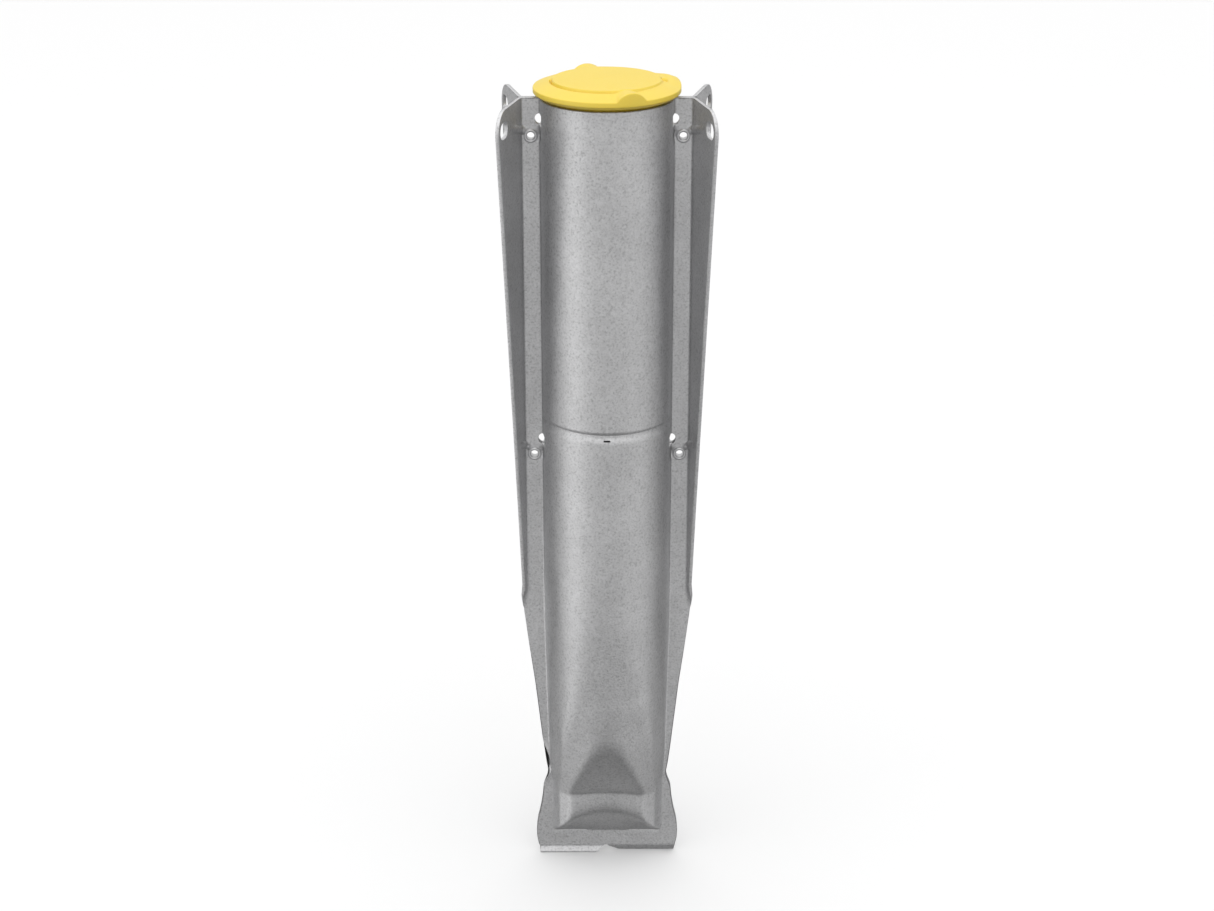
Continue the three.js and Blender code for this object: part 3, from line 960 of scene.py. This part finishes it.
PLASTIC_CLOUD_SCALE = 60.0
PLASTIC_GRAIN_SCALE = 2400.0
CLOUDY_SHARE = 0.35
HOLLOW_SHADE_RANGE = (0.42, 0.495)
PLASTIC_ROUGHNESS = (0.36, 0.46)
SUBSURFACE_WEIGHT = 0.05
SUBSURFACE_RADIUS = (0.004, 0.002, 0.0006)
PLASTIC_BUMP = 0.12
PLASTIC_BUMP_HEIGHT = 0.0001
YELLOW = (0.88, 0.665, 0.083, 1.0)
CLOUDY_YELLOW = (0.855, 0.62, 0.065, 1.0)
SHADED_HOLLOW_YELLOW = (0.68, 0.47, 0.05, 1.0)


def moulded_plastic(name):
    """Satin moulded plastic with a fine matt grain, slight cloudiness and painted shade, a deeper yellow, in
    hollows.
    """
    material, g = new_material(name)
    place = g.add("ShaderNodeTexCoord").outputs["Object"]
    clouds = g.noise(place, PLASTIC_CLOUD_SCALE, 2.0)
    grains = g.noise(place, PLASTIC_GRAIN_SCALE, 3.0)
    tint = g.mix(g.span(clouds, *NOISE_RANGE, 0.0, CLOUDY_SHARE), YELLOW, CLOUDY_YELLOW)
    # Painted shade: a deeper yellow where the surface curves inwards.
    hollow_shade = g.span(g.add("ShaderNodeNewGeometry").outputs["Pointiness"], *HOLLOW_SHADE_RANGE, 1.0, 0.0)
    tint = g.mix(hollow_shade, tint, SHADED_HOLLOW_YELLOW)
    roughness = g.span(grains, *NOISE_RANGE, *PLASTIC_ROUGHNESS)
    bumps = g.add("ShaderNodeBump", {
        "Strength": PLASTIC_BUMP, "Distance": PLASTIC_BUMP_HEIGHT, "Height": grains,
    })
    surface = g.add("ShaderNodeBsdfPrincipled", {
        "Base Color": tint, "Roughness": roughness, "Normal": bumps.outputs[0],
        "Subsurface Weight": SUBSURFACE_WEIGHT, "Subsurface Radius": SUBSURFACE_RADIUS,
        "Subsurface Scale": 1.0,
    })
    g.finish(surface)
    return material


# ---- The object ----

def join_frame(piece, body, node):
    """Attaches a piece to the body it moves with and hides the CAD node it stands for."""
    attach(piece, body)
    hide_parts(node)


def make_object():
    steel = galvanised("galvanised_sheet", bright=0.60, rough=0.38, grain=1.0)
    # The rear sheet's finish has painted shade in the gap beside the front sheet's sprung flange edge.
    crevice_shaded_steel = galvanised("galvanised_sheet_rear_painted_shade", bright=0.60, rough=0.38, grain=1.0, shaded_crevice=True)
    zinc = galvanised("zinc_rivet", bright=0.62, rough=0.3, grain=0.4)
    yellow = moulded_plastic("yellow_plastic")
    join_frame(make_front_shell("front_sheet", steel), "spike", "front_shell")
    join_frame(make_rear_shell("rear_sheet", crevice_shaded_steel), "spike", "rear_shell")
    join_frame(make_cap("cap_moulding", yellow), "cap", "closing_cap")
    for row, level in RIVET_LEVELS.items():
        for side, sign in (("left", -1), ("right", 1)):
            eyelet = make_rivet(f"eyelet_{row}_{side}", sign * RIVET_COLUMN, level, zinc)
            join_frame(eyelet, "spike", f"rivet_{row}_{side}")


# ---- Floor, light and camera ----

FLOOR_HALF = 6000.0
FLOOR_DROP = -0.2
FLOOR_TONE = 0.9
FLOOR_ROUGHNESS = 0.9


def make_floor():
    """A plain pale floor, left out of reflections and bounced light, which come from the studio instead."""
    corners = [(x, y, FLOOR_DROP) for x, y in box_outline(FLOOR_HALF, FLOOR_HALF)]
    floor = mesh_object("studio_floor", corners, [(0, 1, 2, 3)])
    material, g = new_material("pale_floor")
    surface = g.add("ShaderNodeBsdfPrincipled", {
        "Base Color": grey(FLOOR_TONE), "Roughness": FLOOR_ROUGHNESS,
    })
    g.finish(surface)
    floor.data.materials.append(material)
    floor.visible_glossy = False
    floor.visible_diffuse = False


# Brightness of the studio around the object: degrees from its front, positive to the right, and how bright.
STUDIO = [
    (-180, 0.70), (-150, 0.95), (-132, 0.05), (-113, 0.06), (-102, 0.14), (-90, 0.56), (-77, 1.02),
    (-60, 1.5), (-43, 0.86), (-24, 0.74), (0, 0.73), (32, 0.73), (55, 0.83), (72, 0.8), (86, 0.56),
    (98, 0.16), (110, 0.06), (132, 0.04), (150, 0.95), (180, 0.70),
]
OVERHEAD = 1.25
BACKDROP = 1.0

# The table below: dark straight under the front, pale to the sides and right underfoot, with a glow low down
# at both sides. Each range is of the direction's height, or of its reach to the side.
DARK_TABLE = 0.015
PALE_TABLE = 0.34
UNDERFOOT = 0.5
TABLE_GLOW = 0.46
TABLE_RANGE = (-0.54, -0.62)
PALE_RANGE = (0.1, 0.5)
UNDERFOOT_RANGE = (-0.9, -0.99)
GLOW_RANGE = (-0.40, -0.47)
GLOW_SIDES = (0.45, 0.6)
OVERHEAD_RANGE = (0.3, 0.7)


def grey_node(g, value):
    return g.add("ShaderNodeCombineColor", {0: value, 1: value, 2: value}).outputs[0]


def studio_ring(g, across, forward):
    """The studio's brightness around the object, from the direction's turn about the vertical."""
    turn = g.math("ARCTAN2", across, g.math("MULTIPLY", forward, -1.0))
    ramp = g.add("ShaderNodeValToRGB", {"Fac": g.span(turn, -math.pi, math.pi, 0.0, 1.0)})
    ramp.color_ramp.interpolation = "EASE"
    stops = ramp.color_ramp.elements
    stops[1].position = 1.0
    for degrees, _ in STUDIO[1:-1]:
        stops.new((degrees + 180.0) / 360.0)
    for stop, (_, bright) in zip(stops, STUDIO):
        stop.color = grey(bright)
    return ramp.outputs[0]


def make_world():
    """Soft studio light from all around, seen by the camera as a plain pale backdrop."""
    world = bpy.data.worlds.new("studio")
    world.use_nodes = True
    bpy.context.scene.world = world
    g = Graph(world.node_tree)
    direction = g.add("ShaderNodeTexCoord").outputs["Generated"]
    across, forward, up = g.add("ShaderNodeSeparateXYZ", {"Vector": direction}).outputs
    aside = g.math("ABSOLUTE", across)
    pale = g.span(aside, *PALE_RANGE, DARK_TABLE, PALE_TABLE)
    table = grey_node(g, g.math("MAXIMUM", pale, g.span(up, *UNDERFOOT_RANGE, DARK_TABLE, UNDERFOOT)))
    around = g.mix(g.span(up, *TABLE_RANGE, 0.0, 1.0), studio_ring(g, across, forward), table)
    glow = g.math("MULTIPLY", g.span(up, *GLOW_RANGE, 0.0, TABLE_GLOW), g.span(aside, *GLOW_SIDES, 0.0, 1.0))
    around = g.mix(1.0, around, grey_node(g, glow), "LIGHTEN")
    sky = g.mix(g.span(up, *OVERHEAD_RANGE, 0.0, 1.0), around, grey(OVERHEAD))
    seen = g.mix(g.add("ShaderNodeLightPath").outputs["Is Camera Ray"], sky, grey(BACKDROP))
    background = g.add("ShaderNodeBackground", {"Color": seen, "Strength": 1.0})
    output = g.add("ShaderNodeOutputWorld")
    world.node_tree.links.new(background.outputs[0], output.inputs["Surface"])


LAMP_PLACE = (0.0, -0.2, 1.6)
LAMP_SIZE = 2.4
LAMP_POWER = 3.0


def make_lamp():
    """One large soft lamp above, aimed at the spike's tip."""
    data = bpy.data.lights.new("overhead", "AREA")
    data.shape = "RECTANGLE"
    data.size = LAMP_SIZE
    data.size_y = LAMP_SIZE
    data.energy = LAMP_POWER
    lamp = bpy.data.objects.new("overhead", data)
    lamp.location = LAMP_PLACE
    lamp.rotation_euler = (-Vector(LAMP_PLACE)).to_track_quat("-Z", "Y").to_euler()
    bpy.context.scene.collection.objects.link(lamp)


CAMERA_TILT = math.radians(22.0)
CAMERA_REACH = 0.974
CAMERA_AIM = Vector((0.0, 0.0, 0.1925))
CAMERA_LENS = 68.5
CAMERA_SENSOR = 36.0


def make_camera():
    """Looks down at the object from the front, as one does at a spike in a lawn."""
    data = bpy.data.cameras.new("camera")
    data.lens = CAMERA_LENS
    data.sensor_width = CAMERA_SENSOR
    camera = bpy.data.objects.new("camera", data)
    towards = Vector((0.0, -math.cos(CAMERA_TILT), math.sin(CAMERA_TILT)))
    camera.location = CAMERA_AIM + CAMERA_REACH * towards
    camera.rotation_euler = (math.pi / 2 - CAMERA_TILT, 0.0, 0.0)
    bpy.context.scene.collection.objects.link(camera)
    bpy.context.scene.camera = camera


make_object()
make_floor()
make_world()
make_lamp()
make_camera()
bpy.context.scene.view_settings.view_transform = "Standard"
